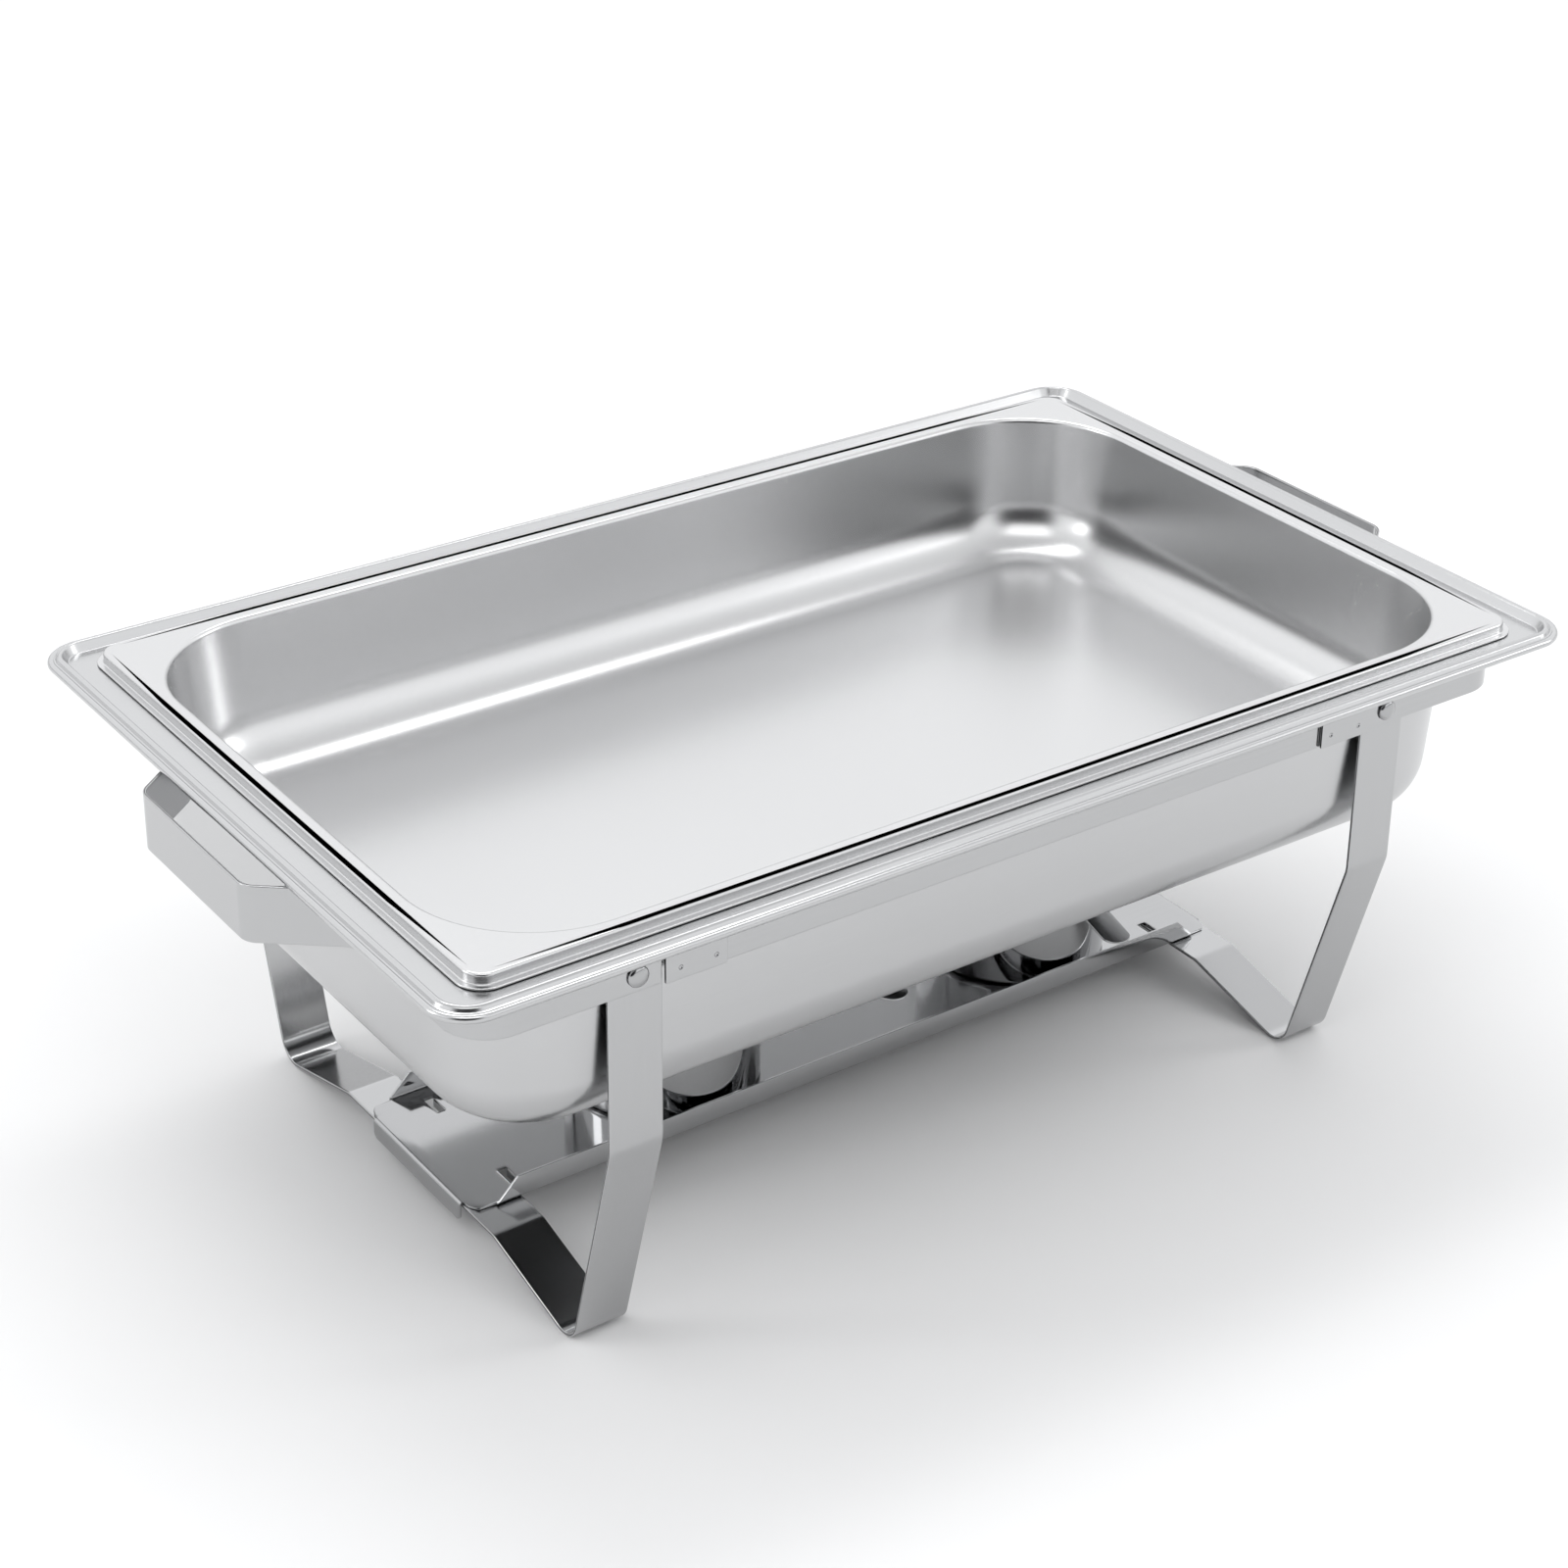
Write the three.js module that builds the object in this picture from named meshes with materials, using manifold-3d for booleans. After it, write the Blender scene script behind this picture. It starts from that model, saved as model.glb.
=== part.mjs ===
// Folding full-size chafing dish: a food pan in a water pan, carried by a strip-metal frame
// whose two legs fold under it, with a fuel shelf and two fuel holders.
// Millimetres, +Z up, X along the pans. The origin is on the floor under the middle of the frame.
import * as THREE from "three";
import { LoftGeometry } from "three/addons/geometries/LoftGeometry.js";
import { mergeVertices } from "three/addons/utils/BufferGeometryUtils.js";
import Module from "manifold-3d";

const wasm = await Module();
wasm.setup();

// ---- Driving dimensions ----
const GAP = 0.3; // clearance between pieces that rest on or turn in each other
const SHEET = 0.8; // pan sheet thickness
const FLOOR_CROWN = 0.05; // rise of a pan's floor inside its bend
const STRIP = 1.5; // thickness of the frame's strip metal
const STRIP_WIDTH = 25; // width of the frame's strip metal

// Water pan: the ledge that carries the food pan, and the rim outside it
const LEDGE_Z = 203.8;
const RIM_HALF_X = 283.2;
const RIM_HALF_Y = 178.4;
const RIM_CORNER = 19;
const RIM_CREST_RISE = 4.1; // crest of the rim bead above the ledge
const RIM_EDGE_RISE = 1.6; // outer edge of the rim above the ledge
const WATER_HALF_X = 258.8; // outside of the wall just under the ledge
const WATER_HALF_Y = 152.8;
const WATER_CORNER = 50;
const WATER_DRAFT = 3.3; // how far the wall leans in over its height
const WATER_BEND = 28; // radius between wall and floor
const WATER_FLOOR_Z = 113.9; // underside of the floor

// Food pan: full gastronorm size, 65 mm deep
const GN_HALF_X = 265;
const GN_HALF_Y = 162.5;
const GN_CORNER = 12;
const FLANGE_WIDTH = 2.8; // narrow flange outside the raised rim
const RAISED_RIM = 5.3; // flat rim above the underside of the flange
const WELL_HALF_X = 253.5;
const WELL_HALF_Y = 151;
const WELL_CORNER = 56;
const WELL_LIP = 2.5; // rounding between the flat rim and the wall
const WELL_DRAFT = 5;
const WELL_BEND = 26;
const FOOD_DEPTH = 65;

// Frame: band around the pans, its handles, and the laps of its rails
const BAND_Y = 156.05; // middle of the strip on the long sides
const BAND_X = 263.25; // middle of the strip at the ends
const BAND_CORNER = 19;
const HANDLE_X = 295.25; // middle of the strip across the grip
const HANDLE_GRIP = 44; // half length of the grip
const HANDLE_ROOT = 70; // half width where the handle leaves the end
const HANDLE_BEND = 9;
const LAP_END = 152.5; // inner end of the lap tongue
const LAP_START = 180.4; // where the band steps out over the rail
const RAIL_HALF = 178.8;

// Legs
const LEG_X = 191.5;
const LEG_WIDTH = 24;
const PIVOT_Z = 184.6;
const LEG_LEAN = THREE.MathUtils.degToRad(15.6); // lean of the lower leg from upright
const FOOT_Y = 116; // middle of the foot
const FOOT_BEND = 12; // outside radius of the foot
const SLOPE = THREE.MathUtils.degToRad(14.5); // rise of the strip from the foot to the shelf
const CROSS_TOP_Z = 15; // top of the level strip that carries the shelf

// Pivot rivets
const RIVET_HEAD = 4.6; // head radius
const RIVET_DOME = 2.2;
const RIVET_SHANK = 2;
const RIVET_TAIL = 3.4;
const RIVET_TAIL_HEIGHT = 1;

// Fuel shelf
const SHELF_HALF_X = 203.9; // to the inside of the end lips
const SHELF_HALF_Y = 47;
const SHELF_SHEET = 1;
const SHELF_CORNER = 9;
const FLANGE_HEIGHT = 10;
const FLANGE_HALF_X = 192; // foot of the side flanges, cut back at 45 degrees
const LIP_DROP = 8.8;
const LIP_HALF_Y = 37;
const SLOT_X = 177.8;
const SLOT_Y = 31.5;
const SLOT_LENGTH = 12;
const SLOT_WIDTH = 4.6;
const TAB_DROP = 3.6; // below the shelf: clears the leg as the shelf lifts and the leg swings

// Fuel holders
const CUP_RADIUS = 44;
const CUP_HEIGHT = 59;
const LID_HOLE = 22;
const LID_SKIRT = 7;
const DAMPER_DISC = 26;
const DAMPER_PIVOT = 35; // from the holder's axis
const DAMPER_BOSS = 9;
const DAMPER_WIDTH = 13;
const DAMPER_REACH = 112; // handle end from the holder's axis
const DAMPER_SHEET = 1;
const PIN_SHANK = 1.8;
const PIN_HEAD = 3.6;
const PIN_HEAD_HEIGHT = 1.4;
const holders = [
  { side: "left", x: -80, yaw: -53 },
  { side: "right", x: 118, yaw: -104 },
];

const CORNER_STEPS = 7; // facets in each plan corner of a pan
const BEND_STEPS = 6; // facets in each bend of a strip
const ROUND_STEPS = 36; // facets around a cup
const PIN_STEPS = 16; // facets around a rivet

// ---- Materials ----
const finish = (color, roughness) =>
  new THREE.MeshStandardMaterial({ color, roughness, metalness: 1 });
const satin = finish(0xc9cacb, 0.32);
const polished = finish(0xd6d7d9, 0.12);
const mirror = finish(0xdcdde0, 0.05);

const part = new THREE.Group();

function add(name, geometry, material, parent = part) {
  const mesh = new THREE.Mesh(geometry, material);
  mesh.name = name;
  parent.add(mesh);
  return mesh;
}

// ---- Joining and cutting ----
function toSolid(geometry) {
  const bare = geometry.clone();
  bare.deleteAttribute("normal");
  bare.deleteAttribute("uv");
  const merged = mergeVertices(bare, 1e-4);
  return new wasm.Manifold(
    new wasm.Mesh({
      numProp: 3,
      vertProperties: new Float32Array(merged.attributes.position.array),
      triVerts: new Uint32Array(merged.index.array),
    }),
  );
}

function toGeometry(solid) {
  const mesh = solid.getMesh();
  const geometry = new THREE.BufferGeometry();
  geometry.setAttribute("position", new THREE.BufferAttribute(mesh.vertProperties, 3));
  geometry.setIndex(new THREE.BufferAttribute(mesh.triVerts, 1));
  geometry.computeVertexNormals();
  return geometry;
}

function join(...geometries) {
  return toGeometry(geometries.map(toSolid).reduce((a, b) => a.add(b)));
}

function cut(body, ...tools) {
  return toGeometry(tools.map(toSolid).reduce((a, b) => a.subtract(b), toSolid(body)));
}

function box(x0, x1, y0, y1, z0, z1) {
  const geometry = new THREE.BoxGeometry(x1 - x0, y1 - y0, z1 - z0);
  return geometry.translate((x0 + x1) / 2, (y0 + y1) / 2, (z0 + z1) / 2);
}

// ---- Bent strips ----
// Points along a polyline whose inner vertices are rounded by their own radius.
function bentPath(vertices) {
  const points = [];
  vertices.forEach(({ x, y, bend }, i) => {
    const here = new THREE.Vector2(x, y);
    if (!bend) {
      points.push(here);
      return;
    }
    const before = new THREE.Vector2(vertices[i - 1].x, vertices[i - 1].y);
    const after = new THREE.Vector2(vertices[i + 1].x, vertices[i + 1].y);
    const into = here.clone().sub(before).normalize();
    const out = after.clone().sub(here).normalize();
    const turn = Math.atan2(into.cross(out), into.dot(out));
    const reach = bend * Math.tan(Math.abs(turn) / 2);
    const start = here.clone().addScaledVector(into, -reach);
    const side = Math.sign(turn);
    const centre = start.clone().add(new THREE.Vector2(-into.y, into.x).multiplyScalar(side * bend));
    for (let k = 0; k <= BEND_STEPS; k++) {
      points.push(start.clone().rotateAround(centre, (turn * k) / BEND_STEPS));
    }
  });
  return points;
}

// The closed outline of a strip of the given thickness that follows a path.
function stripShape(vertices, thickness) {
  const path = bentPath(vertices);
  const offset = (side) =>
    path.map((point, i) => {
      const before = path[Math.max(i - 1, 0)];
      const after = path[Math.min(i + 1, path.length - 1)];
      const into = (i ? point.clone().sub(before) : after.clone().sub(point)).normalize();
      const out = (i < path.length - 1 ? after.clone().sub(point) : into.clone()).normalize();
      const along = into.clone().add(out).normalize();
      const stretch = 1 / Math.max(along.dot(into), 0.5);
      const normal = new THREE.Vector2(-along.y, along.x);
      return point.clone().addScaledVector(normal, (side * stretch * thickness) / 2);
    });
  return new THREE.Shape([...offset(-1), ...offset(1).reverse()]);
}

function extrude(shape, depth, curveSegments = 12) {
  return new THREE.ExtrudeGeometry(shape, { depth, bevelEnabled: false, curveSegments });
}

// ---- Pans ----
// One level ring of a pan: a rounded rectangle at height z.
function ring(halfX, halfY, corner, z) {
  const points = [];
  for (let quarter = 0; quarter < 4; quarter++) {
    const sx = quarter === 0 || quarter === 3 ? 1 : -1;
    const sy = quarter < 2 ? 1 : -1;
    for (let k = 0; k <= CORNER_STEPS; k++) {
      const angle = ((quarter + k / CORNER_STEPS) * Math.PI) / 2;
      points.push(
        new THREE.Vector3(
          sx * (halfX - corner) + corner * Math.cos(angle),
          sy * (halfY - corner) + corner * Math.sin(angle),
          z,
        ),
      );
    }
  }
  return points;
}

// Rings of a drawn well from its floor to its top edge: floor bend, then a wall with draft.
// A crowned floor stands a hair higher in the middle.
function wellRings({ halfX, halfY, corner, draft, bend, floorZ, topZ, crown = 0 }) {
  const rings = [];
  if (crown) {
    const inset = draft + bend + 2;
    rings.push(ring(halfX - inset, halfY - inset, 10, floorZ + crown));
  }
  for (let k = 0; k <= BEND_STEPS; k++) {
    const angle = ((k / BEND_STEPS) * Math.PI) / 2;
    const inset = draft + bend * (1 - Math.sin(angle));
    const z = floorZ + bend * (1 - Math.cos(angle));
    rings.push(ring(halfX - inset, halfY - inset, Math.max(corner - inset, 12), z));
  }
  rings.push(ring(halfX, halfY, corner, topZ));
  return rings;
}

function foodPan() {
  const under = LEDGE_Z + GAP;
  const top = under + RAISED_RIM;
  const rimX = GN_HALF_X - FLANGE_WIDTH;
  const rimY = GN_HALF_Y - FLANGE_WIDTH;
  const rimCorner = GN_CORNER - 1.5;
  const inside = wellRings({
    halfX: WELL_HALF_X,
    halfY: WELL_HALF_Y,
    corner: WELL_CORNER,
    draft: WELL_DRAFT,
    bend: WELL_BEND,
    floorZ: top - FOOD_DEPTH,
    topZ: top - WELL_LIP,
    crown: FLOOR_CROWN,
  });
  const outside = wellRings({
    halfX: WELL_HALF_X + SHEET,
    halfY: WELL_HALF_Y + SHEET,
    corner: WELL_CORNER + SHEET,
    draft: WELL_DRAFT,
    bend: WELL_BEND + SHEET,
    floorZ: top - FOOD_DEPTH - SHEET,
    topZ: top - WELL_LIP - SHEET,
  });
  // The mouth of the well, opened out by a distance, at height z
  const mouth = (out, z) => ring(WELL_HALF_X + out, WELL_HALF_Y + out, WELL_CORNER + out, z);
  const rim = [
    mouth(WELL_LIP * 0.3, top - WELL_LIP * 0.3),
    mouth(WELL_LIP, top),
    ring(rimX - 1, rimY - 1, rimCorner - 1, top),
    ring(rimX, rimY, rimCorner, top - 1),
    ring(rimX, rimY, rimCorner, under + SHEET),
    ring(GN_HALF_X, GN_HALF_Y, GN_CORNER, under + SHEET),
    ring(GN_HALF_X, GN_HALF_Y, GN_CORNER, under),
    ring(rimX - SHEET, rimY - SHEET, rimCorner - SHEET, under),
    ring(rimX - SHEET, rimY - SHEET, rimCorner - SHEET, top - SHEET),
    mouth(WELL_LIP, top - SHEET),
  ];
  const sections = [...outside, ...rim.reverse(), ...inside.reverse()];
  return new LoftGeometry(sections, { capStart: true, capEnd: true });
}

function waterPan() {
  const inside = wellRings({
    halfX: WATER_HALF_X - SHEET,
    halfY: WATER_HALF_Y - SHEET,
    corner: WATER_CORNER - SHEET,
    draft: WATER_DRAFT,
    bend: WATER_BEND - SHEET,
    floorZ: WATER_FLOOR_Z + SHEET,
    topZ: LEDGE_Z,
    crown: FLOOR_CROWN,
  });
  const outside = wellRings({
    halfX: WATER_HALF_X,
    halfY: WATER_HALF_Y,
    corner: WATER_CORNER,
    draft: WATER_DRAFT,
    bend: WATER_BEND,
    floorZ: WATER_FLOOR_Z,
    topZ: LEDGE_Z - SHEET,
  });
  // The rim's rings, by their distance in from the outer edge and height above the ledge
  const level = (inset, rise) =>
    ring(RIM_HALF_X - inset, RIM_HALF_Y - inset, Math.max(RIM_CORNER - inset, 6), LEDGE_Z + rise);
  const rim = [
    level(8.8, 0),
    level(6.2, RIM_CREST_RISE - 0.4),
    level(5.2, RIM_CREST_RISE),
    level(3.2, RIM_CREST_RISE - 0.7),
    level(0.6, RIM_EDGE_RISE),
    level(0, RIM_EDGE_RISE - 0.9),
    level(0.6, RIM_EDGE_RISE - 1.8),
    level(2.2, RIM_EDGE_RISE - 1.6),
    level(5.2, RIM_CREST_RISE - 1.2),
    level(6.6, RIM_CREST_RISE - 1.4),
    level(9.4, -SHEET),
  ];
  const sections = [...outside, ...rim.reverse(), ...inside.reverse()];
  return new LoftGeometry(sections, { capStart: true, capEnd: true });
}

add("water_pan", waterPan(), satin);
add("food_pan", foodPan(), satin);

// ---- Frame ----
const BAND_TOP = LEDGE_Z - SHEET - GAP;
const BAND_FOOT = BAND_TOP - STRIP_WIDTH;
const LAP_STEP = STRIP + GAP;
const LEG_Y = BAND_Y - STRIP - GAP; // middle of the leg strip, inside the band

// A cylinder along Y through a rivet's place, from y0 to y1.
function pivotHole(x, y0, y1) {
  const hole = new THREE.CylinderGeometry(RIVET_SHANK + GAP, RIVET_SHANK + GAP, y1 - y0, PIN_STEPS);
  return hole.translate(x, (y0 + y1) / 2, PIVOT_Z);
}

// One end of the frame, seen from above with the handle at +X: lap tongues, corners and handle.
function endBand() {
  const quarter = [
    { x: LAP_END, y: BAND_Y + LAP_STEP },
    { x: LAP_START - 1.2, y: BAND_Y + LAP_STEP, bend: 0.9 },
    { x: LAP_START + 1.2, y: BAND_Y, bend: 0.9 },
    { x: BAND_X, y: BAND_Y, bend: BAND_CORNER },
    { x: BAND_X, y: HANDLE_ROOT, bend: HANDLE_BEND },
    { x: HANDLE_X, y: HANDLE_GRIP, bend: HANDLE_BEND },
  ];
  const mirrored = quarter.map((vertex) => ({ ...vertex, y: -vertex.y })).reverse();
  const band = extrude(stripShape([...quarter, ...mirrored], STRIP), STRIP_WIDTH).translate(0, 0, BAND_FOOT);
  return cut(
    band,
    pivotHole(LEG_X, BAND_Y - 4, BAND_Y + 4),
    pivotHole(LEG_X, -BAND_Y - 4, -BAND_Y + 4),
  );
}

const frame = new THREE.Group();
part.add(frame);
add("right_end_band", endBand(), polished, frame);
add("left_end_band", endBand().rotateZ(Math.PI), polished, frame);
for (const [side, sign] of [["front", -1], ["rear", 1]]) {
  const y0 = sign * BAND_Y - STRIP / 2;
  const rail = box(-RAIL_HALF, RAIL_HALF, y0, y0 + STRIP, BAND_FOOT, BAND_TOP);
  add(side + "_rail", rail, polished, frame);
}

// A domed rivet through the band and the leg, along +Y from its tail to its head.
function pivotRivet() {
  const headBase = BAND_Y + STRIP / 2 + GAP;
  const tailBase = LEG_Y - STRIP / 2 - GAP;
  const profile = [
    new THREE.Vector2(0, tailBase - RIVET_TAIL_HEIGHT),
    new THREE.Vector2(RIVET_TAIL * 0.8, tailBase - RIVET_TAIL_HEIGHT),
    new THREE.Vector2(RIVET_TAIL, tailBase - RIVET_TAIL_HEIGHT * 0.6),
    new THREE.Vector2(RIVET_TAIL, tailBase),
    new THREE.Vector2(RIVET_SHANK, tailBase),
    new THREE.Vector2(RIVET_SHANK, headBase),
    new THREE.Vector2(RIVET_HEAD, headBase),
  ];
  const DOME_STEPS = 4;
  for (let k = 1; k <= DOME_STEPS; k++) {
    const angle = ((k / DOME_STEPS) * Math.PI) / 2;
    profile.push(new THREE.Vector2(RIVET_HEAD * Math.cos(angle), headBase + RIVET_DOME * Math.sin(angle)));
  }
  profile[profile.length - 1].x = 0;
  return new THREE.LatheGeometry(profile, PIN_STEPS);
}

for (const [end, sx] of [["left", -1], ["right", 1]]) {
  for (const [side, turn] of [["front", Math.PI], ["rear", 0]]) {
    const rivet = add(end + "_" + side + "_pivot_rivet", pivotRivet(), mirror, frame);
    rivet.position.set(sx * LEG_X, 0, PIVOT_Z);
    rivet.rotation.z = turn;
  }
}

// ---- Legs ----
// The leg is one strip: down from the front pivot, in to the foot, up to the level cross strip,
// and the same again to the rear pivot. Its outline is drawn in the Y-Z plane.
function leg() {
  const middle = FOOT_BEND - STRIP / 2; // bend radius of the strip's middle
  const lean = new THREE.Vector2(Math.cos(LEG_LEAN), -Math.sin(LEG_LEAN));
  const slope = new THREE.Vector2(-Math.sin(SLOPE), -Math.cos(SLOPE));
  const footCentre = new THREE.Vector2(FOOT_Y, FOOT_BEND);
  const foot = footCentre.clone().addScaledVector(lean.clone().add(slope), middle / (1 + lean.dot(slope)));
  const kinkZ = foot.y + (LEG_Y - foot.x) / Math.tan(LEG_LEAN);
  const crossZ = CROSS_TOP_Z - STRIP / 2;
  const kneeY = foot.x - (crossZ - foot.y) / Math.tan(SLOPE);
  const half = [
    { x: LEG_Y, y: PIVOT_Z },
    { x: LEG_Y, y: kinkZ, bend: 16 },
    { x: foot.x, y: foot.y, bend: middle },
    { x: kneeY, y: crossZ, bend: 12 },
  ];
  const mirrored = half.map((vertex) => ({ ...vertex, x: -vertex.x })).reverse();
  const strip = extrude(stripShape([...half, ...mirrored], STRIP), LEG_WIDTH);
  // Extruded along its own Z: turn it so that the outline's x and y become Y and Z
  strip.rotateX(Math.PI / 2).rotateZ(Math.PI / 2).translate(-LEG_WIDTH / 2, 0, 0);
  const ends = [-1, 1].map((sign) => {
    const end = new THREE.CylinderGeometry(LEG_WIDTH / 2, LEG_WIDTH / 2, STRIP, 32);
    return end.translate(0, sign * LEG_Y, PIVOT_Z);
  });
  // A short level land under each foot
  const lands = [-1, 1].map((sign) => {
    const y = sign * FOOT_Y;
    return box(-LEG_WIDTH / 2, LEG_WIDTH / 2, y - 2.5, y + 2.5, 0, STRIP * 0.7);
  });
  const holes = [-1, 1].map((sign) => pivotHole(0, sign * LEG_Y - 4, sign * LEG_Y + 4));
  return cut(join(strip, ...ends, ...lands), ...holes);
}

for (const [end, sx] of [["left", -1], ["right", 1]]) {
  add(end + "_leg", leg(), polished).position.x = sx * LEG_X;
}

// ---- Fuel shelf ----
const SHELF_Z = CROSS_TOP_Z + GAP; // underside of the shelf
const SHELF_TOP = SHELF_Z + SHELF_SHEET;

function shelfPlate() {
  const outer = SHELF_HALF_X + SHELF_SHEET;
  const corners = ring(outer, SHELF_HALF_Y, SHELF_CORNER, 0).map((p) => new THREE.Vector2(p.x, p.y));
  return extrude(new THREE.Shape(corners), SHELF_SHEET).translate(0, 0, SHELF_Z);
}

// A side flange: its ends are cut back at 45 degrees.
function shelfFlange(sign) {
  const top = FLANGE_HALF_X - FLANGE_HEIGHT;
  const outline = new THREE.Shape([
    new THREE.Vector2(-FLANGE_HALF_X, 0),
    new THREE.Vector2(FLANGE_HALF_X, 0),
    new THREE.Vector2(top, FLANGE_HEIGHT + SHELF_SHEET),
    new THREE.Vector2(-top, FLANGE_HEIGHT + SHELF_SHEET),
  ]);
  const y = sign > 0 ? SHELF_HALF_Y : -SHELF_HALF_Y + SHELF_SHEET;
  return extrude(outline, SHELF_SHEET).rotateX(Math.PI / 2).translate(0, y, SHELF_Z);
}

// An end lip hooks down outside the leg's cross strip; its corners are clipped.
function shelfLip(sign) {
  const clip = 3;
  const outline = new THREE.Shape([
    new THREE.Vector2(-LIP_HALF_Y, 0.5),
    new THREE.Vector2(-LIP_HALF_Y, -LIP_DROP + clip),
    new THREE.Vector2(-LIP_HALF_Y + clip, -LIP_DROP),
    new THREE.Vector2(LIP_HALF_Y - clip, -LIP_DROP),
    new THREE.Vector2(LIP_HALF_Y, -LIP_DROP + clip),
    new THREE.Vector2(LIP_HALF_Y, 0.5),
  ]);
  const x = sign > 0 ? SHELF_HALF_X : -SHELF_HALF_X - SHELF_SHEET;
  return extrude(outline, SHELF_SHEET).rotateX(Math.PI / 2).rotateZ(Math.PI / 2).translate(x, 0, SHELF_Z);
}

// A slot near each corner, with its tab bent down beside the leg's cross strip.
function shelf() {
  const solids = [shelfPlate(), shelfFlange(1), shelfFlange(-1), shelfLip(1), shelfLip(-1)];
  const slots = [];
  for (const sx of [-1, 1]) {
    for (const sy of [-1, 1]) {
      const x = sx * SLOT_X;
      const y = sy * SLOT_Y;
      const half = SLOT_WIDTH / 2;
      slots.push(
        box(x - half, x + half, y - SLOT_LENGTH / 2, y + SLOT_LENGTH / 2, SHELF_Z - 1, SHELF_TOP + 1),
      );
      const edge = x - sx * half;
      const x0 = sx > 0 ? edge - SHELF_SHEET : edge;
      const y0 = y - SLOT_LENGTH / 2 + 1;
      const y1 = y + SLOT_LENGTH / 2 - 1;
      solids.push(box(x0, x0 + SHELF_SHEET, y0, y1, SHELF_Z - TAB_DROP, SHELF_TOP));
    }
  }
  const [plate, ...rest] = solids;
  return join(cut(plate, ...slots), ...rest);
}

add("fuel_shelf", shelf(), mirror);

// ---- Fuel holders ----
const CUP_Z = SHELF_TOP + GAP;
const LID_Z = CUP_Z + CUP_HEIGHT + GAP;
const DAMPER_Z = LID_Z + SHEET + GAP;

function lathe(pairs, steps) {
  const geometry = new THREE.LatheGeometry(
    pairs.map(([r, z]) => new THREE.Vector2(r, z)),
    steps,
  );
  return geometry.rotateX(Math.PI / 2);
}

function fuelCup() {
  const inner = CUP_RADIUS - SHEET;
  const pairs = [
    [0, 0],
    [CUP_RADIUS - 3, 0],
    [CUP_RADIUS - 0.9, 0.9],
    [CUP_RADIUS, 3],
    [CUP_RADIUS, CUP_HEIGHT],
    [inner, CUP_HEIGHT],
    [inner, 3],
    [inner - 2.2, SHEET],
    [0, SHEET],
  ];
  return lathe(pairs, ROUND_STEPS);
}

function cupLid() {
  const inner = CUP_RADIUS + GAP;
  const outer = inner + SHEET;
  const pairs = [
    [LID_HOLE, 0],
    [inner, 0],
    [inner, -LID_SKIRT],
    [outer, -LID_SKIRT],
    [outer, 0],
    [outer - SHEET, SHEET],
    [LID_HOLE, SHEET],
    [LID_HOLE, 0],
  ];
  const pin = new THREE.CylinderGeometry(PIN_SHANK + GAP, PIN_SHANK + GAP, 8, PIN_STEPS);
  pin.rotateX(Math.PI / 2).translate(DAMPER_PIVOT, 0, 0);
  return cut(lathe(pairs, ROUND_STEPS), pin);
}

// A swivel plate over the lid's hole, with a long handle past the lid's edge.
function damper() {
  const half = DAMPER_WIDTH / 2;
  const disc = new THREE.CylinderGeometry(DAMPER_DISC, DAMPER_DISC, DAMPER_SHEET, ROUND_STEPS);
  const boss = new THREE.CylinderGeometry(DAMPER_BOSS, DAMPER_BOSS, DAMPER_SHEET, 24);
  const tip = new THREE.CylinderGeometry(half, half, DAMPER_SHEET, 24);
  const hole = new THREE.CylinderGeometry(PIN_SHANK + GAP, PIN_SHANK + GAP, 4, PIN_STEPS);
  for (const disk of [disc, boss, tip, hole]) {
    disk.rotateX(Math.PI / 2).translate(0, 0, DAMPER_SHEET / 2);
  }
  boss.translate(DAMPER_PIVOT, 0, 0);
  hole.translate(DAMPER_PIVOT, 0, 0);
  tip.translate(DAMPER_REACH - half, 0, 0);
  const neck = box(DAMPER_DISC - 6, DAMPER_PIVOT, -DAMPER_BOSS + 1, DAMPER_BOSS - 1, 0, DAMPER_SHEET);
  const handle = box(DAMPER_PIVOT, DAMPER_REACH - half, -half, half, 0, DAMPER_SHEET);
  return cut(join(disc, boss, tip, neck, handle), hole);
}

function damperPin() {
  const foot = -SHEET - GAP * 2;
  const head = DAMPER_SHEET + GAP;
  const pairs = [
    [0, foot - 1],
    [PIN_HEAD * 0.8, foot - 1],
    [PIN_HEAD * 0.8, foot],
    [PIN_SHANK, foot],
    [PIN_SHANK, head],
    [PIN_HEAD, head],
    [PIN_HEAD * 0.8, head + PIN_HEAD_HEIGHT * 0.7],
    [PIN_HEAD * 0.3, head + PIN_HEAD_HEIGHT],
    [0, head + PIN_HEAD_HEIGHT],
  ];
  return lathe(pairs, PIN_STEPS);
}

for (const { side, x, yaw } of holders) {
  const holder = new THREE.Group();
  holder.position.set(x, 0, 0);
  holder.rotation.z = THREE.MathUtils.degToRad(yaw);
  part.add(holder);
  add(side + "_fuel_cup", fuelCup(), mirror, holder).position.z = CUP_Z;
  add(side + "_cup_lid", cupLid(), polished, holder).position.z = LID_Z;
  add(side + "_damper", damper(), polished, holder).position.z = DAMPER_Z;
  add(side + "_damper_pin", damperPin(), mirror, holder).position.set(DAMPER_PIVOT, 0, DAMPER_Z);
}

export default part;
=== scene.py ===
"""Folding chafing dish: the visible pieces, their steel finishes, the floor, the lights and the camera."""
import math

import bmesh
import bpy
from mathutils import Euler, Matrix, Vector


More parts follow.
